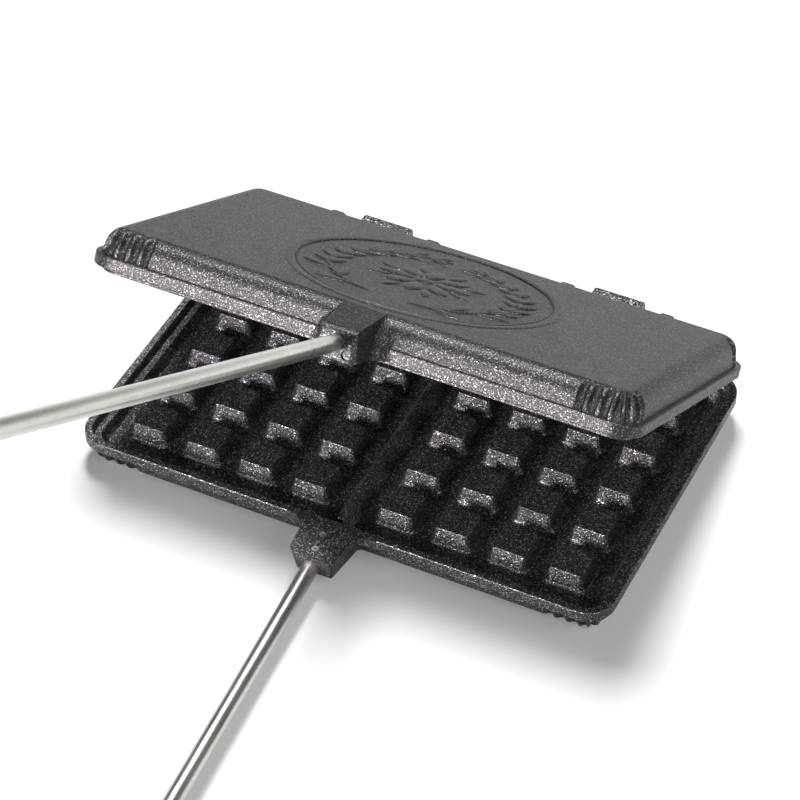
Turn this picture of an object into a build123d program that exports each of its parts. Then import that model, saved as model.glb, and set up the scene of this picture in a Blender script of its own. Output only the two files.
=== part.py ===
"""Stovetop waffle iron: two hinged cast-iron mould halves on long handle rods.

Frame: millimetres, +Z up. The origin is the centre of the lower half's flat base.
X runs along the long side of the head, the handles reach towards -Y and the hinge is at +Y.
The iron stands open: its upper half is turned up about the hinge by open_angle.
"""
import os
from math import atan, cos, degrees, radians, sin, tan

from build123d import *

# ---------------------------------------------------------------- driving dimensions
open_angle = 30.0            # the upper half's opening at rest, from closed, in degrees

plate_length = 238.0         # along X
plate_depth = 151.5          # along Y
half_height = 16.0           # base to parting plane, the same for both halves
corner_radius = 12.0

flange_height = 5.0          # band round each half next to the parting plane
dome_setback = 2.2           # the back of the casting stands in from the band by this
dome_taper = 12.0            # draft of the dome's side, in degrees
shoulder_radius = 7.5        # round edge between the dome's side and its flat face

rim_width = 3.4              # flat rim of the lower half
step_depth = 4.3             # first wall, from the rim down to the ledge
ledge_width = 3.6
stud_drop = 1.2              # stud tops below the parting plane
wall_draft = 10.0            # draft of the mould's wall, in degrees
least_corner = 3.4           # least radius of the mould's corners at its mouth
overlap = 0.5                # how far solids run into each other where they are joined or cut
floor_bevel = 1.8            # between the mould's wall and its floor

stud_pitch = 25.0
stud_top = 12.4
stud_height = 7.6
stud_draft = 2.0             # how far each side leans out from top to foot
stud_columns = 4             # of one field
stud_rows = 5
field_gap = 13.8             # added pitch between the two fields

ridge_top = 1.6              # ridge between the fields
ridge_foot = 9.0
ridge_drop = 0.6             # its top below the stud tops

lip_gap = 0.5                # between the upper half's lip and the lower half's first wall
lip_width = 2.6
lip_height = 2.2

flute_radius = 2.5           # flutes round the corners of the dome, cut by a hexagon's side
flute_pitch = 5.2
flutes_per_front = 4         # along each long side, next to each corner
flutes_per_end = 1           # along each short side, next to each corner
flutes_per_turn = 3          # round each corner
flute_depth = 1.2
flute_lean = 26.0            # they lean in more than the dome's side and run out over the shoulder

boss_width = 20.0            # where the rods enter, at the parting plane
boss_spread = 0.078          # each flank's lean in plan, sideways over back
boss_reach = 19.3            # in front of the rim
boss_height = 11.8           # at its front; the top climbs to the flat face behind
boss_climb = 28.0            # length of that slope
boss_depth_behind = 9.0      # how far its body runs on inside the dome
boss_fillet = 7.5            # concave flanks
boss_corner = 3.8

rod_diameter = 7.0
rod_depth = 6.2              # rod axis from the parting plane, at the boss
rod_socket = 22.5            # length of rod inside the boss
rod_reach = 360.0            # bare rod in front of the boss
upper_rod_lean = (4.0, 0.0)  # away from the parting plane and towards +X, in degrees
lower_rod_lean = (-0.8, 3.7)

pin_diameter = 3.0           # spring pins through boss and rod
pin_wall = 0.7
pin_slot = 0.8
pin_length = 8.0             # through the near side of the boss and past the rod's middle
pin_sink = 0.3
pin_spots = (5.6, 13.8)      # from the rim, along the rod

hinge_spacing = 110.0        # between the centres of the two hinges
hinge_back = 8.75            # hinge axis behind the rim
hinge_rise = 5.0             # hinge axis above the parting plane
hinge_pin_diameter = 6.0
hinge_clearance = 0.08       # radial, between pin and knuckle
knuckle_radius = 7.2
knuckle_width = 22.0
knuckle_mouth = 3.2          # the knuckle's upper jaw ends this far in front of the axis
knuckle_root = 3.0           # how far the knuckles reach into the band
hinge_gap = 0.4              # between the parting plane and the top of the knuckle's arm, and the ear's foot
ear_radius = 6.0
ear_width = 6.0
ear_root = 6.0               # how far the ears reach into the dome
ear_fall = 1.0               # drop of the ears' top edge, at the band and again at the root
ear_spacing = 46.0           # between the centres of a pair of ears

grip_length = 128.0
grip_radius = 10.5
grip_neck = 7.4              # inside the ferrule
grip_bevel = 3.0             # length of the bevel at the tail
ferrule_length = 14.0
ferrule_wall = 0.8
nut_radius = 6.0             # across the corners
nut_height = 5.0

mark_radius = 1.9            # round cast mark beside the upper rod
mark_depth = 1.0
mark_place = (5.6, 2.6)      # from the boss's centre, and from the parting plane

medallion_length = 128.0     # raised oval bead on the upper half's back
medallion_depth = 74.0
medallion_bead = 2.4
medallion_rise = 0.5

# ---------------------------------------------------------------- derived places
parting = half_height
half_x, half_y = plate_length / 2, plate_depth / 2
hinge_y, hinge_z = half_y + hinge_back, parting + hinge_rise
mould_depth = stud_drop + stud_height
rod_radius = rod_diameter / 2
hinge_axis = Axis((0, hinge_y, hinge_z), (1, 0, 0))


def rounded(inset, radius):
    """The plate's outline moved in by inset."""
    return RectangleRounded(plate_length - 2 * inset, plate_depth - 2 * inset, radius)


def slab(inset, radius, low, high, taper=0.0):
    """A rounded slab that starts at low and reaches to high."""
    return extrude(Plane.XY.offset(low) * rounded(inset, radius), high - low, taper=taper)


def stud_places():
    """Centres of all the studs of one half."""
    span = (2 * stud_columns - 1) * stud_pitch + field_gap
    for column in range(2 * stud_columns):
        x = column * stud_pitch + (field_gap if column >= stud_columns else 0.0) - span / 2
        for row in range(stud_rows):
            yield x, (row - (stud_rows - 1) / 2) * stud_pitch


def flute_places():
    """Where the flutes stand on the dome's edge: x, y and the outward direction."""
    edge_x, edge_y = half_x - dome_setback, half_y - dome_setback
    round_radius = corner_radius - dome_setback
    centre_x, centre_y = edge_x - round_radius, edge_y - round_radius
    for side_x in (-1, 1):
        for side_y in (-1, 1):
            for k in range(flutes_per_turn):
                a = radians(90 * (k + 0.5) / flutes_per_turn)
                x = centre_x + round_radius * cos(a)
                y = centre_y + round_radius * sin(a)
                yield side_x * x, side_y * y, side_x * cos(a), side_y * sin(a)
            for k in range(flutes_per_front):
                yield side_x * (centre_x - (k + 0.5) * flute_pitch), side_y * edge_y, 0, side_y
            for k in range(flutes_per_end):
                yield side_x * edge_x, side_y * (centre_y - (k + 0.5) * flute_pitch), side_x, 0


def flute(x, y, nx, ny):
    """The cutter of one flute, from the band up and over the shoulder."""
    lean = radians(flute_lean)
    out = flute_radius * cos(radians(30)) - flute_depth
    foot = Vector(x + nx * out, y + ny * out, flange_height)
    up = Vector(-nx * sin(lean), -ny * sin(lean), cos(lean))
    place = Plane(origin=foot - up, x_dir=(-ny, nx, 0), z_dir=up)
    return extrude(place * RegularPolygon(flute_radius, 6), half_height + flute_radius)


def casting():
    """The outside that both halves share. Parting plane at z = 0, flat face at half_height."""
    band = slab(0, corner_radius, 0, flange_height)
    dome = slab(dome_setback, corner_radius - dome_setback, flange_height, half_height, dome_taper)
    top_edges = dome.faces().sort_by(Axis.Z)[-1].edges()
    dome = fillet(top_edges, shoulder_radius)
    return dome - [flute(*spot) for spot in flute_places()] + band


def boss_plan(root, concave):
    """The boss in plan at the parting plane, from its front back past y = root.

    With concave it ends in wings whose round inner corners run into a wall at y = root.
    """
    front, behind = -half_y - boss_reach, root + boss_depth_behind
    narrow = boss_width / 2
    foot = narrow + boss_spread * (root - front)
    tail = narrow + boss_spread * (behind - front)
    wing = foot + boss_fillet + overlap
    side = [(foot, root), (wing, root), (wing, behind)] if concave else [(tail, behind)]
    right = [(narrow, front)] + side
    left = [(-x, y) for x, y in reversed(right)]
    outline = make_face(Polyline(right + left, close=True))
    inner = [v for v in outline.vertices() if abs(v.Y - root) < 0.01 and abs(v.X) < wing - 0.1]
    if concave:
        outline = fillet(inner, boss_fillet)
    return fillet([v for v in outline.vertices() if v.Y < front + 0.01], boss_corner)


def rod_boss():
    """The drafted block in front that holds the rod. Its top climbs to the dome's flat face."""
    front = -half_y - boss_reach
    wall = -half_y + dome_setback - flange_height * tan(radians(dome_taper))
    low = extrude(boss_plan(-half_y, True), flange_height, taper=dome_taper)
    flank_height = half_height - shoulder_radius
    flanks = extrude(boss_plan(wall, True), flank_height, taper=dome_taper)
    tongue = extrude(boss_plan(wall, False), half_height, taper=dome_taper)
    slope = side_profile([(front - 1, boss_height), (front, boss_height),
                          (front + boss_climb, half_height), (front + boss_climb, half_height + 1),
                          (front - 1, half_height + 1)])
    return [low, flanks, tongue - across(slope, 0, 2 * boss_width)]


def studs(floor):
    """All studs, rising from the mould's floor towards the parting plane at z = 0."""
    foot = stud_top + 2 * stud_draft
    lean = degrees(atan(stud_draft / stud_height))
    one = Rot(180, 0, 0) * extrude(Rectangle(foot, foot), stud_height, taper=lean)
    return [Pos(x, y, floor) * one for x, y in stud_places()]


def ridge(floor):
    """The ridge that parts the two fields."""
    height = mould_depth - stud_drop - ridge_drop
    section = make_face(
        Polyline(
            (-ridge_foot / 2, 0), (ridge_foot / 2, 0),
            (ridge_top / 2, -height), (-ridge_top / 2, -height), close=True,
        )
    )
    length = plate_depth - 2 * (rim_width + ledge_width)
    return Pos(0, length / 2, floor) * extrude(Plane.XZ * section, length)


def mould(inset, depth):
    """The drafted hollow that shapes the waffle, from depth (nearer) to the floor."""
    corner = max(corner_radius - inset, least_corner)
    hollow = slab(inset, corner, depth, mould_depth, wall_draft)
    floor_edges = hollow.faces().sort_by(Axis.Z)[-1].edges()
    return chamfer(floor_edges, floor_bevel)


def filling():
    """Everything that stands on the mould's floor: the studs and the ridge."""
    return studs(mould_depth) + [ridge(mould_depth)]


def side_profile(points):
    """A closed outline in the YZ plane from (y, z) points."""
    return make_face(Polyline([(0, y, z) for y, z in points], close=True))


def across(face, centre, width):
    """Extrudes a YZ face to both sides of x = centre."""
    return Pos(centre, 0, 0) * extrude(face, width / 2, both=True)


def disc(radius, centre, width, y=hinge_y, z=hinge_z):
    """A cylinder along X."""
    return Pos(centre, y, z) * Rot(0, 90, 0) * Cylinder(radius, width)


def knuckle(centre):
    """Hook of the lower half: it passes under the hinge pin, up behind it and over its top."""
    top, bottom = hinge_z + knuckle_radius, parting - flange_height
    root, arm_top = half_y - knuckle_root, parting - hinge_gap
    arm = side_profile([(root, bottom), (hinge_y, bottom), (hinge_y + knuckle_radius, hinge_z),
                        (hinge_y, hinge_z), (hinge_y, arm_top), (root, arm_top)])
    jaw = side_profile([(hinge_y - knuckle_mouth, hinge_z), (hinge_y, hinge_z),
                        (hinge_y, top), (hinge_y - knuckle_mouth, top)])
    body = across(arm, centre, knuckle_width) + disc(knuckle_radius, centre, knuckle_width)
    body += across(jaw, centre, knuckle_width)
    bore = hinge_pin_diameter / 2 + hinge_clearance
    mouth = side_profile([(hinge_y - 2 * knuckle_radius, hinge_z - bore), (hinge_y, hinge_z - bore),
                          (hinge_y, hinge_z + bore), (hinge_y - 2 * knuckle_radius, hinge_z + bore)])
    body -= disc(bore, centre, knuckle_width + 2)
    return body - across(mouth, centre, knuckle_width + 2)


def ear(centre):
    """One ear of the upper half, from the back of its band to the hinge pin."""
    root, top, foot = half_y - ear_root, hinge_z + ear_radius, parting + hinge_gap
    plate = side_profile([(root, foot), (half_y, foot), (hinge_y, hinge_z - ear_radius),
                          (hinge_y, top), (half_y, top - ear_fall), (root, top - 2 * ear_fall)])
    body = across(plate, centre, ear_width) + disc(ear_radius, centre, ear_width)
    return body - disc(hinge_pin_diameter / 2, centre, ear_width + 2)


def hinge_centres():
    return (-hinge_spacing / 2, hinge_spacing / 2)


def rod_direction(lean):
    """Unit vector out along a rod, from its (away, sideways) lean. Parting plane at z = 0."""
    away, sideways = radians(lean[0]), radians(lean[1])
    return Vector(sin(sideways) * cos(away), -cos(sideways) * cos(away), sin(away))


def rod_place(lean):
    """Plane at the socket's blind end, its z axis out along the rod."""
    out = rod_direction(lean)
    mouth = Vector(0, -half_y - boss_reach, rod_depth)
    return Plane(origin=mouth - out * rod_socket, x_dir=(1, 0, 0), z_dir=out)


def pin_centres(lean):
    """Where the spring pins cross the rod, at the parting plane."""
    out = rod_direction(lean)
    for spot in pin_spots:
        inside = boss_reach - spot
        yield inside * out.X / out.Y, -half_y - spot


def pin_hole(x, y):
    """Hole for one spring pin, from the parting plane."""
    depth = pin_sink + pin_length
    return Pos(x, y, (depth - 1) / 2) * Cylinder(pin_diameter / 2, depth + 1)


def spring_pin(x, y):
    """A rolled tube with a slot along it."""
    radius = pin_diameter / 2
    tube = Cylinder(radius, pin_length) - Cylinder(radius - pin_wall, pin_length + 1)
    tube -= Pos(radius, 0, 0) * Box(pin_diameter, pin_slot, pin_length + 1)
    return Pos(x, y, pin_sink + pin_length / 2) * tube


def turned(points):
    """A body turned about the z axis from (radius, z) points."""
    return revolve(make_face(Polyline([(r, 0, z) for r, z in points], close=True)), Axis.Z)


def grip():
    """Turned wood: a neck inside the ferrule, a long barrel and a bevelled tail."""
    shoulder, tail = grip_neck + ferrule_wall, grip_length - grip_bevel
    return turned([(rod_radius, 0), (grip_neck, 0), (grip_neck, ferrule_length),
                   (shoulder, ferrule_length), (grip_radius, ferrule_length + grip_bevel),
                   (grip_radius, tail), (shoulder, grip_length), (rod_radius, grip_length)])


def ferrule():
    """A steel tube round the grip's neck."""
    return turned([(grip_neck, 0), (grip_neck + ferrule_wall, 0),
                   (grip_neck + ferrule_wall, ferrule_length), (grip_neck, ferrule_length)])


def grip_nut():
    """Hexagon nut on the rod's end."""
    nut = extrude(RegularPolygon(nut_radius, 6), nut_height)
    return Pos(0, 0, grip_length) * nut - Cylinder(rod_radius, 3 * grip_length)


def handle(lean):
    """Rod, grip, ferrule and nut of one half, built with the parting plane at z = 0."""
    place = rod_place(lean)
    bare = rod_socket + rod_reach
    rod = extrude(place * Circle(rod_radius), bare + grip_length + nut_height)
    rod -= [pin_hole(x, y) for x, y in pin_centres(lean)]
    seat = place.offset(bare).location
    return rod, seat * grip(), seat * ferrule(), seat * grip_nut()


def turn_over(thing):
    """Lower half: parting plane up at z = half_height, flat face down on z = 0."""
    return mirror(thing, about=Plane.XY).moved(Location((0, 0, parting)))


def lift(thing):
    """Upper half: stands on the parting plane, then turns open about the hinge."""
    return thing.moved(Location((0, 0, parting))).rotate(hinge_axis, -open_angle)


def rod_holes(lean):
    """What the rod and its spring pins take out of a boss."""
    socket = extrude(rod_place(lean) * Circle(rod_radius), rod_socket + 5)
    return [socket] + [pin_hole(x, y) for x, y in pin_centres(lean)]


def build_lower():
    half = casting() + rod_boss()
    half -= [
        slab(rim_width, corner_radius - rim_width, -1, step_depth),
        mould(rim_width + ledge_width, step_depth - overlap),
        *rod_holes(lower_rod_lean),
    ]
    half = turn_over(half + filling())
    return half + [knuckle(centre) for centre in hinge_centres()]


def build_upper():
    lip_out = rim_width + lip_gap
    lip_in = lip_out + lip_width
    mark_x, mark_z = mark_place
    lip = slab(lip_out, corner_radius - lip_out, -lip_height, 1)
    half = casting() + rod_boss() + lip
    half -= [
        mould(lip_in, 0),
        slab(lip_in, corner_radius - lip_in, -lip_height - 1, 0),
        *rod_holes(upper_rod_lean),
        Pos(mark_x, -half_y - boss_reach, mark_z) * Rot(90, 0, 0)
        * Cylinder(mark_radius, 2 * mark_depth),
    ]
    rx, ry = medallion_length / 2, medallion_depth / 2
    bead = Ellipse(rx, ry) - Ellipse(rx - medallion_bead, ry - medallion_bead)
    raised = extrude(Plane.XY.offset(half_height - overlap) * bead, medallion_rise + overlap)
    half = (half + filling() + raised).moved(Location((0, 0, parting)))
    ears = [ear(centre + side * ear_spacing / 2) for centre in hinge_centres() for side in (-1, 1)]
    return (half + ears).rotate(hinge_axis, -open_angle)


def hinge_pin(centre):
    """Cross pin, pressed through a pair of ears and held by the knuckle between them."""
    return disc(hinge_pin_diameter / 2, centre, ear_spacing + ear_width)


def build():
    nodes = {"lower_plate": build_lower(), "upper_plate": build_upper()}
    for side, lean, place in (("lower", lower_rod_lean, turn_over), ("upper", upper_rod_lean, lift)):
        names = ("rod", "grip", "ferrule", "grip_nut")
        for name, piece in zip(names, handle(lean)):
            nodes[f"{side}_{name}"] = place(piece)
        pins = [spring_pin(x, y) for x, y in pin_centres(lean)]
        nodes[f"{side}_rod_pins"] = place(Compound(pins))
    for name, centre in zip(("left", "right"), hinge_centres()):
        nodes[f"{name}_hinge_pin"] = hinge_pin(centre)
    return nodes


os.makedirs("parts", exist_ok=True)
for node, shape in build().items():
    export_step(shape, f"parts/{node}.step")
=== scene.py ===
"""Stovetop waffle iron: the finished castings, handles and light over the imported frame."""
from math import atan2, cos, pi, radians, sin, sqrt, tan

import bmesh
import bpy
from bpy.props import FloatProperty, FloatVectorProperty, IntProperty, PointerProperty
from mathutils import Matrix, Vector


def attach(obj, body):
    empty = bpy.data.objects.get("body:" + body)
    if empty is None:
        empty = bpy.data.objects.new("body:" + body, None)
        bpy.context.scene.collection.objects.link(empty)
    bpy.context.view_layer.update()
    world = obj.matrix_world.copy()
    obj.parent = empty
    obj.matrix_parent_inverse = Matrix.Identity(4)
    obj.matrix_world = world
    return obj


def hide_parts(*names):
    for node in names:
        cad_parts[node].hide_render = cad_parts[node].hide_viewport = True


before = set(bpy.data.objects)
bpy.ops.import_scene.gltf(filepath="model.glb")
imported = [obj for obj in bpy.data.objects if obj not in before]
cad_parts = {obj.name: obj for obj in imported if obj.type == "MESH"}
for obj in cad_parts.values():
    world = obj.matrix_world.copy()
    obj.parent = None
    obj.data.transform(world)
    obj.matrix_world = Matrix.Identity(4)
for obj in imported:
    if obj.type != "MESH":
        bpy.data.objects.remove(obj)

bl_info = {
    "name": "Stovetop Waffle Iron",
    "version": (1, 0, 0),
    "blender": (4, 5, 0),
    "location": "3D View > Sidebar > Waffle Iron",
    "description": "Builds a long-handled cast waffle iron, its finishes, its light and its camera",
    "category": "Object",
}

# Shapes are worked in millimetres and brought to metres at the end. Each half is shaped with its
# parting plane at z = 0 and its flat back at HALF_HEIGHT.
MM = 0.001
HALF_X, HALF_Y, CORNER = 119.0, 75.75, 12.0
HALF_HEIGHT = 16.0
BAND = 5.0                               # height of the flange next to the parting plane
DOME_SETBACK, DOME_TAPER, SHOULDER = 2.2, radians(12), 7.5
FLUTE_PITCH, FRONT_FLUTES, END_FLUTES = 5.2, 3, 1
MOULD_FLOOR = 8.8                        # below the parting plane
FIELD_GAP = 13.8                         # added to the pitch between the two stud fields
BOSS_FRONT, BOSS_REACH = -95.05, 19.3
ROD_DEPTH, ROD_REACH, ROD_SOCKET = 6.2, 360.0, 22.5
PIN_SPOTS, PIN_RADIUS = (5.6, 13.8), 1.5      # spring pins, from the rim along the rod
HINGE = Vector((0, 84.5, 21))
HOOK_CENTRES, EAR_CENTRES = (-55.0, 55.0), (-78.0, -32.0, 32.0, 78.0)
UPPER_LEAN, LOWER_LEAN = (4.0, 0.0), (-0.8, 3.7)      # rods: away from the parting plane, sideways
OVAL_X, OVAL_Y = 58.8, 62.5              # the medallion's half axes

# From a half's own frame to its place on the iron: the lower half turned over, the upper half
# closed, and then open as photographed.
LOWER = Matrix.Translation((0, 0, HALF_HEIGHT)) @ Matrix.Diagonal((1, 1, -1, 1))
CLOSED = Matrix.Translation((0, 0, HALF_HEIGHT))
OPEN = (Matrix.Translation(HINGE) @ Matrix.Rotation(radians(-30), 4, "X")
        @ Matrix.Translation(-HINGE))
OVAL_SHIFT = Matrix.Translation((-2.2, -1.0, 0))


# ------------------------------------------------------------------ settings
def length(name, description, value, **more):
    return FloatProperty(name=name, description=description, default=value * MM,
                         subtype="DISTANCE", unit="LENGTH", **more)


def colour(name, description, value):
    return FloatVectorProperty(name=name, description=description, default=value,
                               subtype="COLOR", size=3, min=0.0, max=1.0)


class CastingSettings(bpy.types.PropertyGroup):
    soft_edge: length("Soft edge", "Worn edge of the rims, studs and ridge", 0.35)
    stud_pitch: length("Stud pitch", "From stud to stud in both directions", 25.0)
    stud_top: length("Stud top", "Side of a stud's flat top", 13.9)
    stud_height: length("Stud height", "From the mould's floor", 7.6)
    stud_round: length("Stud corner", "Radius of a stud's upright corners", 0.9)
    flute_depth: length("Flute depth", "Depth of the flutes where they start", 0.95)
    field_sink: length("Medallion field", "Depth of the oval field below the back", 0.15)
    leaf_rise: length("Leaf rise", "Height of the leaves on the oval field", 0.6)


class HandleSettings(bpy.types.PropertyGroup):
    rod_radius: length("Rod radius", "Radius of the drawn rods", 3.5)
    grip_radius: length("Grip radius", "Radius of the grips at the belly", 10.5)
    grip_waist: length("Grip waist", "Radius of the grips beside the ferrule", 8.2)
    grip_length: length("Grip length", "Length of the wooden grips", 128.0)
    facets: IntProperty(name="Turned steps", description="Steps round a turned piece",
                        default=64, min=16, max=128)


class FinishSettings(bpy.types.PropertyGroup):
    # The upper half's tone is the same iron painted darker: painted shade that holds its lamp-lit
    # back and sides down.
    iron: colour("Iron", "Seasoned cast iron of the upper half", (0.042, 0.0407, 0.0385))
    # Same seasoned iron as the upper half, painted lighter: painted light standing in for the lamp
    # on the lower half's stud fronts.
    mould_iron_painted_lighter: colour("Mould iron", "Seasoned cast iron of the lower half",
                       (0.060, 0.0572, 0.0585))
    iron_dust: colour("Iron highlight", "Paler crystals in the casting skin", (0.74, 0.71, 0.73))
    steel: colour("Rod plating", "Bright plating of the rods", (0.80, 0.78, 0.73))
    pin_steel: colour("Pin steel", "Plain steel of the pins", (0.80, 0.78, 0.74))
    wood_light: colour("Wood, light", "Light bands of the grips", (0.27, 0.135, 0.058))
    wood_dark: colour("Wood, dark", "Dark bands of the grips", (0.125, 0.054, 0.022))


class StageSettings(bpy.types.PropertyGroup):
    floor: colour("Floor", "Colour of the floor and backdrop", (0.86, 0.86, 0.86))
    focal: FloatProperty(name="Focal length", description="Camera lens on a 36 mm sensor",
                         default=145.4, subtype="DISTANCE_CAMERA")
    key: FloatProperty(name="Key light", description="Power of the lamp above and behind",
                       default=33.0, subtype="POWER")
    side: FloatProperty(name="Side light", description="Power of the lamp at the left front",
                        default=40.0, subtype="POWER")
    right: FloatProperty(name="Right light", description="Power of the soft lamp at the right",
                         default=9.0, subtype="POWER")


# ------------------------------------------------------------------ meshes
def clamp(value, limit):
    return max(-limit, min(limit, value))


def object_of(bm, name):
    """A scene object from a bmesh, with outward normals."""
    bmesh.ops.recalc_face_normals(bm, faces=bm.faces)
    mesh = bpy.data.meshes.new(name)
    bm.to_mesh(mesh)
    bm.free()
    obj = bpy.data.objects.new(name, mesh)
    bpy.context.scene.collection.objects.link(obj)
    return obj


def fuse(base, added, cut, name):
    """One closed bmesh: base with the added solids, less the cut ones."""
    objects = [object_of(base, name)]
    for operation, solids in (("UNION", added), ("DIFFERENCE", cut)):
        group = bpy.data.collections.new(operation.lower())
        for solid in solids:
            obj = object_of(solid, name + "_tool")
            group.objects.link(obj)
            objects.append(obj)
        modifier = objects[0].modifiers.new(operation.title(), "BOOLEAN")
        modifier.operation, modifier.solver = operation, "EXACT"
        modifier.operand_type, modifier.collection = "COLLECTION", group
    depsgraph = bpy.context.evaluated_depsgraph_get()
    result = bmesh.new()
    result.from_mesh(objects[0].evaluated_get(depsgraph).to_mesh())
    for group in [m.collection for m in objects[0].modifiers]:
        bpy.data.collections.remove(group)
    for obj in objects:
        bpy.data.meshes.remove(obj.data)
    bmesh.ops.remove_doubles(result, verts=result.verts, dist=0.002)
    return result


def finish_piece(bm, name, body, material, replaced=(), weighted=False):
    """Brings a bmesh in millimetres into the scene as a finished piece of the iron."""
    crease = radians(34)
    bmesh.ops.scale(bm, vec=(MM, MM, MM), verts=bm.verts)
    bmesh.ops.recalc_face_normals(bm, faces=bm.faces)
    for face in bm.faces:
        face.smooth = True
    for edge in bm.edges:
        edge.smooth = len(edge.link_faces) == 2 and edge.calc_face_angle(0.0) < crease
    mesh = bpy.data.meshes.new(name)
    bm.to_mesh(mesh)
    bm.free()
    mesh.materials.append(material)
    piece = bpy.data.objects.new(name, mesh)
    bpy.context.scene.collection.objects.link(piece)
    if weighted:
        normals = piece.modifiers.new("Weighted normals", "WEIGHTED_NORMAL")
        normals.keep_sharp = True
    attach(piece, body)
    if replaced:
        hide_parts(*replaced)
    return piece


def grow(bm, cap):
    """Extrudes a cap face in place and returns the new cap."""
    made = bmesh.ops.extrude_face_region(bm, geom=[cap] + list(cap.edges))
    return next(g for g in made["geom"] if isinstance(g, bmesh.types.BMFace))


def rounded_cap(half_x, half_y, radius, segments):
    """A flat rounded rectangle at z = 0: its bmesh and its face."""
    bm = bmesh.new()
    bmesh.ops.create_grid(bm, x_segments=1, y_segments=1, size=1)
    bmesh.ops.scale(bm, vec=(half_x, half_y, 1), verts=bm.verts)
    bmesh.ops.bevel(bm, geom=list(bm.verts), offset=radius, offset_type="OFFSET",
                    segments=segments, profile=0.5, affect="VERTICES", material=-1)
    bm.faces.ensure_lookup_table()
    return bm, bm.faces[0]


def place_cap(cap, half_x, half_y, radius, inset, z, shape=None):
    """Moves a cap's corners to inset from the outline, at height z."""
    for vert in cap.verts:
        core = Vector((clamp(vert.co.x, half_x - radius), clamp(vert.co.y, half_y - radius)))
        out = (vert.co.xy - core).normalized()
        depth = shape(core, out, inset, z) if shape else inset
        spot = core + out * (radius - depth)
        vert.co = (spot.x, spot.y, z)


def lofted(half_x, half_y, radius, steps, segments=4):
    """A closed rounded block from (inset, height) steps."""
    bm, cap = rounded_cap(half_x, half_y, radius, segments)
    place_cap(cap, half_x, half_y, radius, *steps[0])
    for step in steps[1:]:
        cap = grow(bm, cap)
        place_cap(cap, half_x, half_y, radius, *step)
    return bm


def turned(points, steps):
    """A closed body turned about the z axis from a closed ring of (radius, height) points."""
    bm = bmesh.new()
    ring = [bm.verts.new((r, 0, z)) for r, z in points]
    edges = [bm.edges.new((ring[k - 1], ring[k])) for k in range(len(ring))]
    bmesh.ops.spin(bm, geom=ring + edges, cent=(0, 0, 0), axis=(0, 0, 1), angle=2 * pi,
                   steps=steps, use_merge=True)
    bmesh.ops.remove_doubles(bm, verts=bm.verts, dist=0.0001)
    return bm


def cylinder(radius, length, centre, direction, segments=48):
    """A closed cylinder about centre along direction."""
    bm = bmesh.new()
    bmesh.ops.create_cone(bm, cap_ends=True, segments=segments, radius1=radius, radius2=radius,
                          depth=length)
    turn = Vector(direction).to_track_quat("Z", "Y").to_matrix().to_4x4()
    bm.transform(Matrix.Translation(centre) @ turn)
    return bm


def prism(points, centre, width, edge=0.0):
    """A closed block across x from (y, z) corners, with bevelled edges."""
    bm = bmesh.new()
    face = bm.faces.new([bm.verts.new((centre - width / 2, y, z)) for y, z in points])
    made = bmesh.ops.extrude_face_region(bm, geom=[face])
    bmesh.ops.translate(bm, vec=(width, 0, 0),
                        verts=[g for g in made["geom"] if isinstance(g, bmesh.types.BMVert)])
    if edge:
        bmesh.ops.bevel(bm, geom=list(bm.edges), offset=edge, segments=2, profile=0.5,
                        affect="EDGES", material=-1)
    return bm


def moved(bm, matrix):
    bm.transform(matrix)
    return bm


# ------------------------------------------------------------------ casting
def flutes(depth):
    """The shape of the fluted corners: how far in the skin lies at each place and height."""
    lean, radius = tan(radians(26)), 2.05
    corner = CORNER - DOME_SETBACK

    def inset_at(core, out, inset, z):
        if z < BAND or inset < DOME_SETBACK:
            return inset
        across_x, across_y = abs(out.x) > 0.999, abs(out.y) > 0.999
        if not (across_x or across_y):
            third = corner * pi / 6
            along = atan2(abs(out.y), abs(out.x)) * corner
            off = (along % third) - third / 2
        else:
            if across_x:
                shift, count = HALF_Y - CORNER - abs(core.y), END_FLUTES
            else:
                shift, count = HALF_X - CORNER - abs(core.x), FRONT_FLUTES
            if shift > FLUTE_PITCH * count:
                return inset
            off = (shift % FLUTE_PITCH) - FLUTE_PITCH / 2
        if abs(off) >= radius:
            return inset
        hollow = (DOME_SETBACK + depth + (z - BAND) * lean - radius
                  + sqrt(radius ** 2 - off ** 2))
        fade = 1.0 - (abs(off) / radius) ** 6
        return inset + max(0.0, hollow - inset) * fade

    return inset_at


def dome_steps():
    """(inset, height) up the drafted side and round the shoulder to the flat back."""
    side_top = HALF_HEIGHT - SHOULDER * (1 - sin(DOME_TAPER))
    start = DOME_SETBACK + (side_top - BAND) * tan(DOME_TAPER)
    flat = start + SHOULDER * cos(DOME_TAPER)
    side = [(DOME_SETBACK + (z - BAND) * tan(DOME_TAPER), z) for z in (BAND, 5.9, 7.0, 8.1, 9.1)]
    arc = [DOME_TAPER + (pi / 2 - DOME_TAPER) * k / 12 for k in range(13)]
    return side + [(flat - SHOULDER * cos(a), HALF_HEIGHT - SHOULDER + SHOULDER * sin(a))
                   for a in arc]


def floor_steps(edge_inset, edge_z):
    """(inset, height) from the mould's floor round its fillet and up the drafted wall."""
    draft, fillet = tan(radians(10)), 2.4
    wall_foot = edge_inset + (MOULD_FLOOR - edge_z) * draft
    bend = [k * pi / 12 for k in range(6)]
    return [(wall_foot + fillet * (1 - sin(a)), MOULD_FLOOR - fillet * (1 - cos(a)))
            for a in bend]


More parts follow.
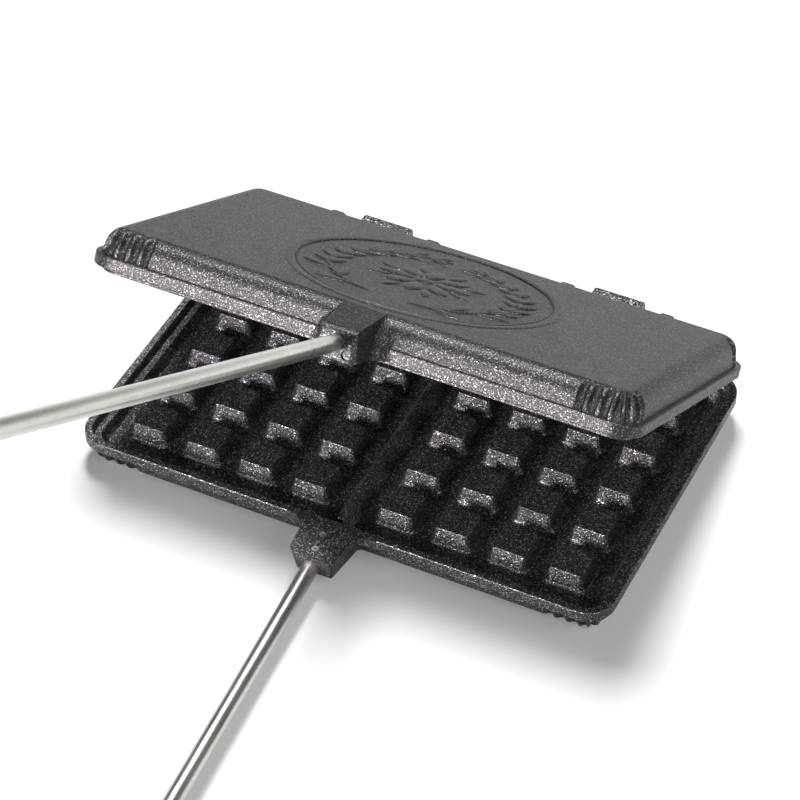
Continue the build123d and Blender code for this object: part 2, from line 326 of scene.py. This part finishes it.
def shell(inside, soft, flute_depth):
    """The whole skin of one half, from the mould's floor over the rim to the flat back.

    The outline's long runs are cut finely next to the corners, where the flutes are."""
    bm, cap = rounded_cap(HALF_X, HALF_Y, CORNER, 24)
    bm.edges.ensure_lookup_table()
    long_edges = sorted(bm.edges, key=lambda e: -e.calc_length())[:4]
    for edge in long_edges:
        along_x = abs(edge.verts[0].co.x - edge.verts[1].co.x) > HALF_X
        count = FRONT_FLUTES if along_x else END_FLUTES
        zone, cuts = count * FLUTE_PITCH, count * 8
        for start in (edge.verts[0], edge.verts[1]):
            end = next(e for e in start.link_edges if e.calc_length() > 30)
            for k in range(cuts):
                _, near = bmesh.utils.edge_split(end, start if k == 0 else near,
                                                 zone / cuts / end.calc_length())
                end = next(e for e in near.link_edges if e.calc_length() > 30)
    cap = next(iter(bm.faces))
    outside = [(soft, 0.0), (0.0, soft), (0.0, BAND - soft), (soft, BAND)]
    steps = inside + outside + dome_steps()
    shape = flutes(flute_depth)
    place_cap(cap, HALF_X, HALF_Y, CORNER, *steps[0])
    for step in steps[1:]:
        cap = grow(bm, cap)
        place_cap(cap, HALF_X, HALF_Y, CORNER, *step, shape)
    return bm


def lower_inside(soft):
    """Mould of the lower half: floor, second wall, ledge, first wall, rim."""
    rim, ledge, step = 3.4, 3.6, 4.3
    inner = rim + ledge
    return floor_steps(inner, step) + [
        (inner + soft * 0.2, step + soft), (inner - soft, step), (rim + 0.5, step),
        (rim, step - 0.5), (rim, soft), (rim - soft, 0.0)]


def upper_inside(soft):
    """Mould of the upper half: floor, one wall up to the lip that nests in the lower half."""
    lip_out, lip_in, lip = 3.9, 6.5, 2.2
    return floor_steps(lip_in, 0.0) + [
        (lip_in, soft - lip), (lip_in - soft, -lip), (lip_out + soft, -lip),
        (lip_out, soft - lip), (lip_out, -0.3), (lip_out - 0.3, 0.0)]


def stud_field(settings):
    """All the studs of one half, each with a flared foot below the mould's floor."""
    pitch, top = settings.stud_pitch / MM, settings.stud_top / MM
    height, corner = settings.stud_height / MM, settings.stud_round / MM
    soft, lean, flare = settings.soft_edge / MM, 1.5, 2.0
    foot, crown = top / 2 + lean, MOULD_FLOOR - height
    bend = [k * pi / 14 for k in range(7)]
    steps = [(0.0, MOULD_FLOOR + 0.6)]
    steps += [(flare * sin(a), MOULD_FLOOR - flare * (1 - cos(a))) for a in bend]
    steps += [(flare + lean * (0.96 - soft / height), crown + soft),
              (flare + lean + soft * 0.3, crown + soft * 0.3), (flare + lean + soft, crown)]
    one = lofted(foot + flare, foot + flare, corner + flare + lean, steps)
    mesh = bpy.data.meshes.new("stud")
    one.to_mesh(mesh)
    one.free()
    field = bmesh.new()
    span = 7 * pitch + FIELD_GAP
    for column in range(8):
        x = column * pitch + (FIELD_GAP if column > 3 else 0.0) - span / 2
        for row in range(-2, 3):
            fresh = len(field.verts)
            field.from_mesh(mesh)
            field.verts.ensure_lookup_table()
            bmesh.ops.translate(field, vec=(x, row * pitch, 0), verts=field.verts[fresh:])
    bpy.data.meshes.remove(mesh)
    return field


def ridge(soft):
    """The ridge that parts the two fields, with a worn top edge."""
    top_z, half = 1.8, 68.75
    bm = bmesh.new()
    corners = [(-4.6, MOULD_FLOOR + 0.6), (4.6, MOULD_FLOOR + 0.6), (4.5, MOULD_FLOOR),
               (0.8, top_z), (-0.8, top_z), (-4.5, MOULD_FLOOR)]
    face = bm.faces.new([bm.verts.new((x, -half, z)) for x, z in corners])
    made = bmesh.ops.extrude_face_region(bm, geom=[face])
    bmesh.ops.translate(bm, vec=(0, 2 * half, 0),
                        verts=[g for g in made["geom"] if isinstance(g, bmesh.types.BMVert)])
    top = [e for e in bm.edges if all(v.co.z < top_z + 0.1 for v in e.verts)]
    bmesh.ops.bevel(bm, geom=top, offset=soft * 1.5, segments=3, profile=0.5, affect="EDGES",
                    material=-1)
    return bm


def skin_y(z):
    """How far the front skin of a half stands in from the rim at height z."""
    if z <= BAND:
        return 0.0
    steps = dome_steps()
    for (d0, z0), (d1, z1) in zip(steps, steps[1:]):
        if z <= z1:
            return d0 + (d1 - d0) * (z - z0) / (z1 - z0)
    return steps[-1][0]


def plane_off(bm, spot, way):
    """Cuts a closed convex-topped block with a plane and closes it again."""
    cut = bmesh.ops.bisect_plane(bm, geom=bm.verts[:] + bm.edges[:] + bm.faces[:],
                                 plane_co=spot, plane_no=way, clear_outer=True)
    rim = [g for g in cut["geom_cut"] if isinstance(g, bmesh.types.BMEdge)]
    if rim:
        bmesh.ops.holes_fill(bm, edges=rim, sides=0)


def rod_boss():
    """The drafted block in front: round corners, flanks that run into the skin, a sloping top.

    Each corner of the plan keeps where it started, and its place at each height comes from that."""
    width, spread, front_round, flank_round = 20.0, 0.078, 3.8, 7.5
    draft, top_front, climb = tan(DOME_TAPER), 11.8, 28.0
    root, sink, behind = -HALF_Y, 0.12, 2.9
    foot = width / 2 + spread * (root - BOSS_FRONT)
    wing = foot + flank_round + 1.0
    right = [(width / 2, BOSS_FRONT), (foot, root), (wing, root), (wing, root + behind)]
    bm = bmesh.new()
    verts = [bm.verts.new((x, y, 0)) for x, y in right]
    verts += [bm.verts.new((-x, y, 0)) for x, y in reversed(right)]
    bm.faces.new(verts)
    angle = pi / 2 + atan2(spread, 1)
    inner = [v for v in verts if abs(v.co.y - root) < 0.01 and abs(v.co.x) < wing - 0.5]
    for corners, radius in (([verts[0], verts[7]], front_round), (inner, flank_round)):
        bmesh.ops.bevel(bm, geom=corners, offset=radius * tan((pi - angle) / 2),
                        offset_type="OFFSET", segments=8, profile=0.5, affect="VERTICES",
                        material=-1)
    rest = bm.verts.layers.float_vector.new("rest")
    for vert in bm.verts:
        vert[rest] = vert.co
    cap = next(iter(bm.faces))
    core = Vector((width / 2 - front_round, BOSS_FRONT + front_round))
    for z in (2.5, BAND - 0.01, BAND + 0.01, 7.0, 8.5, 10.0, 11.5, 12.8, 13.8, 14.6, 15.3, 15.98):
        cap = grow(bm, cap)
        inset, shrink = skin_y(z), z * draft
        keep = 1.0 if z < 8 else max(0.25, 1.0 - (z - 8) / 10)
        for vert in cap.verts:
            side = 1 if vert[rest].x > 0 else -1
            x, y = abs(vert[rest].x), vert[rest].y
            if y < core.y + 0.01:
                out = Vector((max(x - core.x, 0.0), min(y - core.y, 0.0))).normalized()
                x, y = x - out.x * shrink, y - out.y * shrink
            else:
                gap = x - width / 2 - spread * (y - BOSS_FRONT)
                y = root + inset + sink + (y - root) * (keep if y < root else 1.0)
                x = width / 2 + spread * (y - BOSS_FRONT) - shrink + gap * keep
            vert.co = (side * x, y, z)
    slope = Vector((0, top_front - HALF_HEIGHT, climb)).normalized()
    plane_off(bm, Vector((0, BOSS_FRONT, top_front)), slope)
    front, edge_round = Vector((0, -1, draft)).normalized(), 2.2
    edge = Vector((0, BOSS_FRONT + top_front * draft, top_front))
    centre = edge - (slope + front) * edge_round / (1 + slope.dot(front))
    for part in (0.25, 0.5, 0.75):
        way = slope.slerp(front, part)
        plane_off(bm, centre + way * edge_round, way)
    return bm


def rod_way(lean):
    """Where a rod's socket mouth is and which way the rod runs, in a half's own frame."""
    away, sideways = radians(lean[0]), radians(lean[1])
    out = Vector((sin(sideways) * cos(away), -cos(sideways) * cos(away), sin(away)))
    return Vector((0, BOSS_FRONT, ROD_DEPTH)), out


def rod_cuts(lean):
    """The rod's socket and the two spring-pin holes."""
    mouth, out = rod_way(lean)
    past = 2.0                           # how far the socket's cut stands out of the mouth
    cuts = [cylinder(3.5, ROD_SOCKET + past, mouth - out * (ROD_SOCKET - past) / 2, out)]
    for spot in PIN_SPOTS:
        inside = BOSS_REACH - spot
        centre = Vector((inside * out.x / out.y, -HALF_Y - spot, 3.65))
        cuts.append(cylinder(PIN_RADIUS, 9.3, centre, (0, 0, 1), 32))
    return cuts


def hooks():
    """The two hook knuckles of the lower half: solids to add and to cut."""
    y, z = HINGE.y, HINGE.z
    round_back, bore, added, cut = 7.2, 3.08, [], []
    arm = [(y - 11.75, 11.0), (y, 11.0), (y + round_back, z), (y, z), (y, 15.6),
           (y - 11.75, 15.6)]
    jaw = [(y - 3.2, z), (y + 7.1, z), (y + 7.1, z + 5.4), (y + 5.2, z + 7.5),
           (y - 3.2, z + 7.5)]
    mouth = [(y - 14.4, z - bore), (y, z - bore), (y, z + bore), (y - 14.4, z + bore)]
    for centre in HOOK_CENTRES:
        added += [prism(arm, centre, 22.0, 0.4),
                  cylinder(round_back, 22.0, (centre, y, z), (1, 0, 0)),
                  prism(jaw, centre, 23.2, 0.9)]
        cut += [cylinder(bore, 24.0, (centre, y, z), (1, 0, 0)), prism(mouth, centre, 24.0)]
    return added, cut


def ears():
    """The four hinge ears of the upper half, closed over the lower one: add and cut."""
    y, z = HINGE.y, HINGE.z
    added, cut = [], []
    side = [(y - 14.75, 16.4), (y - 8.75, 16.4), (y, z - 6), (y + 2.4, z + 5.9),
            (y - 0.6, z + 7.5), (y - 8.75, z + 6.6), (y - 14.75, z + 5)]
    for centre in EAR_CENTRES:
        added += [prism(side, centre, 6.0, 0.9), cylinder(6.0, 6.0, (centre, y, z), (1, 0, 0))]
        cut.append(cylinder(3.0, 8.0, (centre, y, z), (1, 0, 0)))
    return added, cut


# ------------------------------------------------------------------ medallion
def oval_block(grow_by, steps):
    """A closed oval block from (inset, height) steps."""
    bm = bmesh.new()
    bmesh.ops.create_circle(bm, cap_ends=True, segments=128, radius=1.0)
    rest = bm.verts.layers.float_vector.new("rest")
    for vert in bm.verts:
        vert[rest] = vert.co
    cap = next(iter(bm.faces))
    for k, (inset, z) in enumerate(steps):
        if k:
            cap = grow(bm, cap)
        for vert in cap.verts:
            c, s = vert[rest].xy
            out = Vector((c / OVAL_X, s / OVAL_Y)).normalized()
            spot = Vector(((OVAL_X + grow_by) * c, (OVAL_Y + grow_by) * s)) - out * inset
            vert.co = (spot.x, spot.y, z)
    return bm


def leaf(bm, spot, heading, size, width, rise, z, side=1):
    """Adds one pointed lens-shaped leaf that starts at spot; side -1 mirrors it."""
    made = bmesh.ops.create_uvsphere(bm, u_segments=12, v_segments=8, radius=1.0)
    place = (Matrix.Diagonal((side, 1, 1, 1)) @ Matrix.Translation((spot[0], spot[1], z))
             @ Matrix.Rotation(heading, 4, "Z"))
    for vert in made["verts"]:
        across, up, along = vert.co
        taper = 1.0 - 0.45 * along * along
        vert.co = place @ Vector(((along + 1) * size / 2, across * width / 2 * taper, up * rise))


def sprig(bm, side, rise, z):
    """One wheat ear on its stem, bent along the oval."""
    for k in range(12):
        a = radians(258 - 13.5 * k)
        spot = Vector((39 * cos(a), 41 * sin(a)))
        ahead = Vector((39 * sin(a), -41 * cos(a))).normalized()
        heading = atan2(ahead.y, ahead.x)
        if k < 4:
            leaf(bm, spot, heading, 15.0, 2.0, rise * 0.8, z, side)
        if 1 <= k <= 3:
            leaf(bm, spot, heading + 0.7 * (1 if k % 2 else -1), 16.0, 5.4, rise * 0.9, z, side)
        if k >= 4:
            for turn in (-0.6, 0.6, 0.0):
                leaf(bm, spot, heading + turn, 12.5 if turn else 10.0, 4.6, rise, z, side)


def rosette(bm, rise, z):
    """The eight-petalled flower in the middle of the oval."""
    for k in range(8):
        a = k * pi / 4
        leaf(bm, (4.6 * cos(a), 4.6 * sin(a)), a, 16.0, 9.0, rise, z)
        b = a + pi / 8
        leaf(bm, (14.0 * cos(b), 14.0 * sin(b)), b, 12.0, 4.6, rise * 0.8, z)
    knob = bmesh.ops.create_uvsphere(bm, u_segments=20, v_segments=10, radius=1.0)
    bmesh.ops.scale(bm, vec=(4.0, 4.0, rise * 1.2), verts=knob["verts"])
    bmesh.ops.translate(bm, vec=(0, 0, z), verts=knob["verts"])


# ------------------------------------------------------------------ materials
class Nodes:
    """A short way to lay out one material's nodes."""

    def __init__(self, name):
        self.material = bpy.data.materials.new(name)
        self.material.use_nodes = True
        self.tree = self.material.node_tree
        self.shader = self.tree.nodes["Principled BSDF"]
        coordinates = self.add("ShaderNodeTexCoord")
        self.position = coordinates.outputs["Object"]

    def add(self, kind, **values):
        node = self.tree.nodes.new(kind)
        for key, value in values.items():
            setattr(node, key, value)
        return node

    def link(self, source, target):
        self.tree.links.new(source, target)
        return target

    def set(self, **values):
        for key, value in values.items():
            self.shader.inputs[key.replace("_", " ")].default_value = value

    def noise(self, scale, detail=4.0, rough=0.5, vector=None):
        node = self.add("ShaderNodeTexNoise")
        node.inputs["Scale"].default_value = scale
        node.inputs["Detail"].default_value = detail
        node.inputs["Roughness"].default_value = rough
        self.link(vector or self.position, node.inputs["Vector"])
        return node.outputs["Fac"]

    def stretched(self, scale, turn=(0, 0, 0)):
        node = self.add("ShaderNodeMapping")
        node.inputs["Scale"].default_value = scale
        node.inputs["Rotation"].default_value = turn
        self.link(self.position, node.inputs["Vector"])
        return node.outputs["Vector"]

    def ramp(self, source, stops):
        node = self.add("ShaderNodeValToRGB")
        band = node.color_ramp
        while len(band.elements) < len(stops):
            band.elements.new(0.5)
        for element, (place, tone) in zip(band.elements, stops):
            element.position = place
            element.color = (*tone, 1.0) if len(tone) == 3 else tone
        self.link(source, node.inputs["Fac"])
        return node.outputs["Color"]

    def grey(self, source, low, high, start=0.0, end=1.0):
        node = self.add("ShaderNodeMapRange")
        for key, value in (("From Min", start), ("From Max", end),
                           ("To Min", low), ("To Max", high)):
            node.inputs[key].default_value = value
        self.link(source, node.inputs["Value"])
        return node.outputs["Result"]

    def bump(self, height, strength, distance, under=None):
        node = self.add("ShaderNodeBump")
        node.inputs["Strength"].default_value = strength
        node.inputs["Distance"].default_value = distance
        self.link(height, node.inputs["Height"])
        if under:
            self.link(under, node.inputs["Normal"])
        return node.outputs["Normal"]


def iron_material(name, skin_tone, crystal_tone, rough, grain, sparkle):
    """Seasoned sand casting: dark skin, pale crystals, a fine pebbled surface."""
    n = Nodes(name)
    skin = n.noise(60, 5, 0.65)
    crystal = n.noise(1600, 2, 0.6)
    base = n.ramp(skin, [(0.3, tuple(c * 0.8 for c in skin_tone)),
                         (0.75, tuple(c * 1.2 for c in skin_tone))])
    mix = n.add("ShaderNodeMix", data_type="RGBA")
    n.link(n.grey(crystal, 0.0, sparkle, 0.55, 0.70), mix.inputs["Factor"])
    n.link(base, mix.inputs["A"])
    mix.inputs["B"].default_value = (*crystal_tone, 1.0)
    n.link(mix.outputs["Result"], n.shader.inputs["Base Color"])
    n.link(n.grey(n.noise(420, 4, 0.6), rough - 0.08, rough + 0.1), n.shader.inputs["Roughness"])
    pebbles = n.bump(n.noise(900, 3, 0.6), 1.0, grain)
    fine = n.bump(n.noise(2200, 2, 0.5), 1.0, grain * 0.5, pebbles)
    n.link(fine, n.shader.inputs["Normal"])
    n.set(Metallic=0.85)
    return n.material


def plated_material(name, tone, rough, direction):
    """Bright plating over drawn bar: streaks along the bar and small tarnished clouds."""
    n = Nodes(name)
    streaks = n.noise(1.0, 3, 0.5, n.stretched(*direction))
    clouds = n.noise(38, 4, 0.6)
    n.link(n.ramp(clouds, [(0.3, tuple(c * 0.86 for c in tone)), (0.7, tuple(tone))]),
           n.shader.inputs["Base Color"])
    n.link(n.grey(streaks, rough * 0.7, rough * 1.5), n.shader.inputs["Roughness"])
    n.link(n.bump(streaks, 0.12, 0.00002), n.shader.inputs["Normal"])
    n.set(Metallic=1.0)
    return n.material


def wood_material(name, finish, turn):
    """Turned hardwood under a thin clear lacquer."""
    n = Nodes(name)
    along = n.stretched((14.0, 1.0, 14.0), turn)
    warp = n.noise(6.0, 3, 0.5, along)
    rings = n.add("ShaderNodeTexWave", wave_type="BANDS", bands_direction="X", wave_profile="SAW")
    rings.inputs["Scale"].default_value = 3.2
    rings.inputs["Distortion"].default_value = 5.0
    rings.inputs["Detail"].default_value = 3.0
    rings.inputs["Detail Scale"].default_value = 1.6
    n.link(along, rings.inputs["Vector"])
    pores = n.noise(60.0, 3, 0.6, along)
    tone = n.ramp(rings.outputs["Fac"], [(0.1, tuple(finish.wood_light)),
                                         (0.9, tuple(finish.wood_dark))])
    mix = n.add("ShaderNodeMix", data_type="RGBA", blend_type="MULTIPLY")
    mix.inputs["Factor"].default_value = 0.55
    n.link(tone, mix.inputs["A"])
    n.link(n.ramp(pores, [(0.35, (0.35, 0.3, 0.26)), (0.55, (1, 1, 1))]), mix.inputs["B"])
    n.link(mix.outputs["Result"], n.shader.inputs["Base Color"])
    n.link(n.grey(warp, 0.32, 0.48), n.shader.inputs["Roughness"])
    n.link(n.bump(pores, 0.35, 0.0002), n.shader.inputs["Normal"])
    n.set(Coat_Weight=0.35, Coat_Roughness=0.18)
    return n.material


# ------------------------------------------------------------------ stage
def lay_floor(scene, tone):
    """The pale floor, which the camera sees fade to plain white away from the iron."""
    bm = bmesh.new()
    bmesh.ops.create_grid(bm, x_segments=1, y_segments=1, size=6.0)
    mesh = bpy.data.meshes.new("floor")
    bm.to_mesh(mesh)
    bm.free()
    floor = bpy.data.objects.new("floor", mesh)
    floor.location.z = -0.0002
    scene.collection.objects.link(floor)
    n = Nodes("pale_floor")
    n.set(Base_Color=(*tone, 1.0), Roughness=0.9, Specular_IOR_Level=0.0,
          Emission_Color=(1, 1, 1, 1))
    rays = n.add("ShaderNodeLightPath")
    distance = n.add("ShaderNodeVectorMath", operation="LENGTH")
    n.link(n.position, distance.inputs[0])
    seen = n.add("ShaderNodeMath", operation="MULTIPLY")
    n.link(rays.outputs["Is Camera Ray"], seen.inputs[0])
    n.link(n.grey(distance.outputs["Value"], 0.16, 1.0, 0.8, 2.2), seen.inputs[1])
    n.link(seen.outputs["Value"], n.shader.inputs["Emission Strength"])
    mesh.materials.append(n.material)
    return floor


def studio_world():
    """A dim even fill, white where the camera looks past the floor."""
    world = bpy.data.worlds.new("studio")
    world.use_nodes = True
    tree = world.node_tree
    back = tree.nodes["Background"]
    path = tree.nodes.new("ShaderNodeLightPath")
    pick = tree.nodes.new("ShaderNodeMapRange")
    pick.inputs["To Min"].default_value, pick.inputs["To Max"].default_value = 0.06, 1.0
    tree.links.new(path.outputs["Is Camera Ray"], pick.inputs["Value"])
    tree.links.new(pick.outputs["Result"], back.inputs["Strength"])
    back.inputs["Color"].default_value = (1.0, 1.0, 1.0, 1.0)
    return world


def hang_lamps(scene, stage, floor):
    """Three square lamps. The one at the side leaves the floor out, which keeps one shadow."""
    aim, plain, cool = Vector((0.0, -0.05, 0.03)), (1.0, 1.0, 1.0), (0.98, 0.93, 1.0)
    lamps = (("key", (-0.24, 0.56, 1.6), 0.45, stage.key, plain),
             ("side", (-0.45, -1.25, 0.58), 0.45, stage.side, cool),
             ("right", (1.3, -0.25, 0.75), 1.3, stage.right, plain))
    for name, spot, size, power, tone in lamps:
        data = bpy.data.lights.new(name, "AREA")
        data.shape, data.size, data.energy, data.color = "SQUARE", size, power, tone
        lamp = bpy.data.objects.new(name, data)
        lamp.location = spot
        lamp.rotation_euler = (Vector(spot) - aim).to_track_quat("Z", "Y").to_euler()
        scene.collection.objects.link(lamp)
        if name == "side":
            unlit = bpy.data.collections.new("floor_without_side_light")
            unlit.objects.link(floor)
            lamp.light_linking.receiver_collection = unlit
            unlit.collection_objects[0].light_linking.link_state = "EXCLUDE"


def set_camera(scene, focal):
    """The camera of the photograph."""
    data = bpy.data.cameras.new("camera")
    data.lens, data.sensor_width, data.clip_start = focal, 36.0, 0.01
    camera = bpy.data.objects.new("camera", data)
    azimuth, elevation, roll = radians(25.827), radians(43.839), radians(-0.08)
    back_way = Vector((sin(azimuth) * cos(elevation), -cos(azimuth) * cos(elevation),
                       sin(elevation)))
    right = Vector((cos(azimuth), sin(azimuth), 0.0))
    up = back_way.cross(right)
    right, up = right * cos(roll) + up * sin(roll), up * cos(roll) - right * sin(roll)
    camera.matrix_world = Matrix.Translation(Vector((417.7, -875.3, 952.0)) * MM) @ Matrix(
        (right, up, back_way)).transposed().to_4x4()
    scene.collection.objects.link(camera)
    scene.camera = camera


# ------------------------------------------------------------------ operators
class WAFFLE_OT_lower_half(bpy.types.Operator):
    """Cast the lower half: tray, stud fields, ridge, rod boss and hook knuckles"""
    bl_idname = "waffle.lower_half"
    bl_label = "Lower half"

    def execute(self, context):
        settings, finish = context.scene.waffle_casting, context.scene.waffle_finish
        soft = settings.soft_edge / MM
        body = moved(shell(lower_inside(soft), soft, settings.flute_depth / MM), LOWER)
        hook_added, hook_cut = hooks()
        added = [moved(bm, LOWER) for bm in (stud_field(settings), ridge(soft), rod_boss())]
        cut = [moved(bm, LOWER) for bm in rod_cuts(LOWER_LEAN)]
        whole = fuse(body, added + hook_added, cut + hook_cut, "lower_casting")
        finish_piece(whole, "lower_casting", "lower_half",
                     # The lighter iron tone and the strong crystal share (0.95) are painted light
                     # on the stud fronts; the casting is the same iron as the upper half.
                     iron_material("seasoned_iron_lower_painted_lighter", finish.mould_iron_painted_lighter, finish.iron_dust,
                                   0.37, 0.00038, 0.95),
                     ["lower_plate"], weighted=True)
        return {"FINISHED"}


class WAFFLE_OT_upper_half(bpy.types.Operator):
    """Cast the upper half: mould with its nesting lip, rod boss, hinge ears and oval seat"""
    bl_idname = "waffle.upper_half"
    bl_label = "Upper half"

    def execute(self, context):
        settings, finish = context.scene.waffle_casting, context.scene.waffle_finish
        soft = settings.soft_edge / MM
        body = moved(shell(upper_inside(soft), soft, settings.flute_depth / MM), CLOSED)
        ear_added, ear_cut = ears()
        added = [moved(bm, CLOSED) for bm in (stud_field(settings), ridge(soft), rod_boss())]
        seat = moved(oval_block(-1.2, [(0.0, 14.8), (0.0, 17.0)]), OVAL_SHIFT)
        mark = cylinder(1.9, 3.0, (5.6, BOSS_FRONT, 2.6), (0, 1, 0), 32)
        cut = [moved(bm, CLOSED) for bm in rod_cuts(UPPER_LEAN) + [seat, mark]]
        whole = moved(fuse(body, added + ear_added, cut + ear_cut, "upper_casting"), OPEN)
        finish_piece(whole, "upper_casting", "upper_half",
                     # The darker iron tone and the weaker crystal share (0.42) are painted shade
                     # against the lamps on the upper half's back and sides.
                     iron_material("seasoned_iron_upper_painted_darker", finish.iron, finish.iron_dust,
                                   0.42, 0.00024, 0.42),
                     ["upper_plate"], weighted=True)
        return {"FINISHED"}


class WAFFLE_OT_medallion(bpy.types.Operator):
    """Lay the oval into the upper half's back: bead, field, two wheat ears and a rosette"""
    bl_idname = "waffle.medallion"
    bl_label = "Medallion"

    def execute(self, context):
        settings, finish = context.scene.waffle_casting, context.scene.waffle_finish
        sink, rise = settings.field_sink / MM, settings.leaf_rise / MM
        top = HALF_HEIGHT
        steps = [(0.0, 14.9), (0.0, top - 0.55), (0.5, top - 0.55), (0.95, top + 0.1),
                 (1.4, top + 0.2), (4.4, top + 0.2), (4.85, top + 0.05), (5.2, top - 0.6),
                 (5.7, top - 0.6), (6.2, top - sink)]
        bm = oval_block(0.0, steps)
        relief = bmesh.new()
        for side in (-1, 1):
            sprig(relief, side, rise, top - sink)
        rosette(relief, rise, top - sink)
        mesh = bpy.data.meshes.new("relief")
        relief.to_mesh(mesh)
        relief.free()
        bm.from_mesh(mesh)
        bpy.data.meshes.remove(mesh)
        bm.transform(OPEN @ CLOSED @ OVAL_SHIFT)
        finish_piece(bm, "medallion", "upper_half",
                     # The upper half's darker iron tone and a weak crystal share: painted shade
                     # against the lamp on the back.
                     iron_material("seasoned_iron_oval_painted_darker", finish.iron, finish.iron_dust,
                                   0.45, 0.00014, 0.38))
        return {"FINISHED"}


class WAFFLE_OT_handles(bpy.types.Operator):
    """Turn the rods, wooden grips and ferrules of both halves"""
    bl_idname = "waffle.handles"
    bl_label = "Handles"

    def execute(self, context):
        sizes, finish = context.scene.waffle_handles, context.scene.waffle_finish
        steps = sizes.facets
        radius, belly = sizes.rod_radius / MM, sizes.grip_radius / MM
        waist, long = sizes.grip_waist / MM, sizes.grip_length / MM
        neck, ferrule, shank = 7.4, 14.0, ROD_REACH + ROD_SOCKET
        for side, lean, frame_of in (("lower", LOWER_LEAN, LOWER),
                                     ("upper", UPPER_LEAN, OPEN @ CLOSED)):
            mouth, out = rod_way(lean)
            body = f"{side}_half"
            turn = out.to_track_quat("Z", "X").to_matrix().to_4x4()
            seat = frame_of @ Matrix.Translation(mouth + out * ROD_REACH) @ turn
            rod = turned([(0.001, -shank), (radius, -shank), (radius, long + 4.5),
                          (radius - 0.5, long + 5.0), (0.001, long + 5.0)], steps)
            direction = (frame_of.to_3x3() @ out).normalized()
            lie = (atan2(direction.z, sqrt(direction.x ** 2 + direction.y ** 2)), 0, 0)
            finish_piece(moved(rod, seat), f"{side}_bar", body,
                         plated_material(f"plated_bar_{side}", finish.steel, 0.28,
                                         ((900, 18, 900), lie)), [f"{side}_rod"])
            curve = [(waist + (belly - waist) * sin(pi * k / 24) ** 0.8,
                      ferrule + (long - ferrule - 3.0) * k / 24) for k in range(25)]
            tail = [(waist - 3.0 * (1 - cos(a)), long - 3.0 + 3.0 * sin(a))
                    for a in (pi / 8, pi / 4, 3 * pi / 8, pi / 2)]
            grip = turned([(radius, 0), (neck, 0), (neck, ferrule)] + curve + tail
                          + [(radius, long)], steps)
            finish_piece(moved(grip, seat), f"{side}_handle", body,
                         wood_material(f"lacquered_wood_{side}", finish, (-lie[0], 0, 0)),
                         [f"{side}_grip"])
            collar = turned([(neck, 0), (8.0, 0), (8.2, 0.2), (8.2, 2.0), (7.95, 2.4),
                             (8.2, 2.8), (8.2, 13.8), (8.0, ferrule), (neck, ferrule)], steps)
            finish_piece(moved(collar, seat), f"{side}_collar", body,
                         plated_material(f"plated_collar_{side}", finish.steel, 0.22,
                                         ((600, 600, 600), (0, 0, 0))), [f"{side}_ferrule"])
        return {"FINISHED"}


class WAFFLE_OT_small_steel(bpy.types.Operator):
    """Give the pins and nuts of the frame their steel"""
    bl_idname = "waffle.small_steel"
    bl_label = "Pins and nuts"

    def execute(self, context):
        finish = context.scene.waffle_finish
        level = (0, 0, 0)
        pins = plated_material("spring_steel", finish.pin_steel, 0.3, ((700, 700, 700), level))
        nuts = plated_material("plated_nut", finish.steel, 0.22, ((500, 500, 500), level))
        for name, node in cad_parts.items():
            if node.hide_render:
                continue
            if name.endswith("_pins") or name.endswith("_pin"):
                material = pins
            elif name.endswith("_nut"):
                material = nuts
            else:
                continue
            node.data.materials.clear()
            node.data.materials.append(material)
        return {"FINISHED"}


class WAFFLE_OT_stage(bpy.types.Operator):
    """Lay the floor, hang the lamps and set the camera"""
    bl_idname = "waffle.stage"
    bl_label = "Stage"

    def execute(self, context):
        scene, stage = context.scene, context.scene.waffle_stage
        floor = lay_floor(scene, stage.floor)
        scene.world = studio_world()
        hang_lamps(scene, stage, floor)
        set_camera(scene, stage.focal)
        scene.view_settings.view_transform = "Standard"
        return {"FINISHED"}


class WAFFLE_PT_panel(bpy.types.Panel):
    """Lists the steps that build the waffle iron"""
    bl_idname = "WAFFLE_PT_panel"
    bl_label = "Waffle Iron"
    bl_space_type = "VIEW_3D"
    bl_region_type = "UI"
    bl_category = "Waffle Iron"

    def draw(self, context):
        column = self.layout.column(align=True)
        for operator in OPERATORS:
            column.operator(operator.bl_idname)
        for group in ("waffle_casting", "waffle_handles", "waffle_finish", "waffle_stage"):
            settings = getattr(context.scene, group)
            box = self.layout.box()
            for key in settings.__annotations__:
                box.prop(settings, key)


OPERATORS = (WAFFLE_OT_lower_half, WAFFLE_OT_upper_half, WAFFLE_OT_medallion, WAFFLE_OT_handles,
             WAFFLE_OT_small_steel, WAFFLE_OT_stage)
GROUPS = {"waffle_casting": CastingSettings, "waffle_handles": HandleSettings,
          "waffle_finish": FinishSettings, "waffle_stage": StageSettings}


def register():
    for cls in (*GROUPS.values(), *OPERATORS, WAFFLE_PT_panel):
        bpy.utils.register_class(cls)
    for name, group in GROUPS.items():
        setattr(bpy.types.Scene, name, PointerProperty(type=group))


def unregister():
    for name in GROUPS:
        delattr(bpy.types.Scene, name)
    for cls in (WAFFLE_PT_panel, *OPERATORS, *GROUPS.values()):
        bpy.utils.unregister_class(cls)


def main():
    register()
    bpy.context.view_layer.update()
    for operator in OPERATORS:
        group, name = operator.bl_idname.split(".")
        getattr(getattr(bpy.ops, group), name)()


if __name__ == "__main__":
    main()
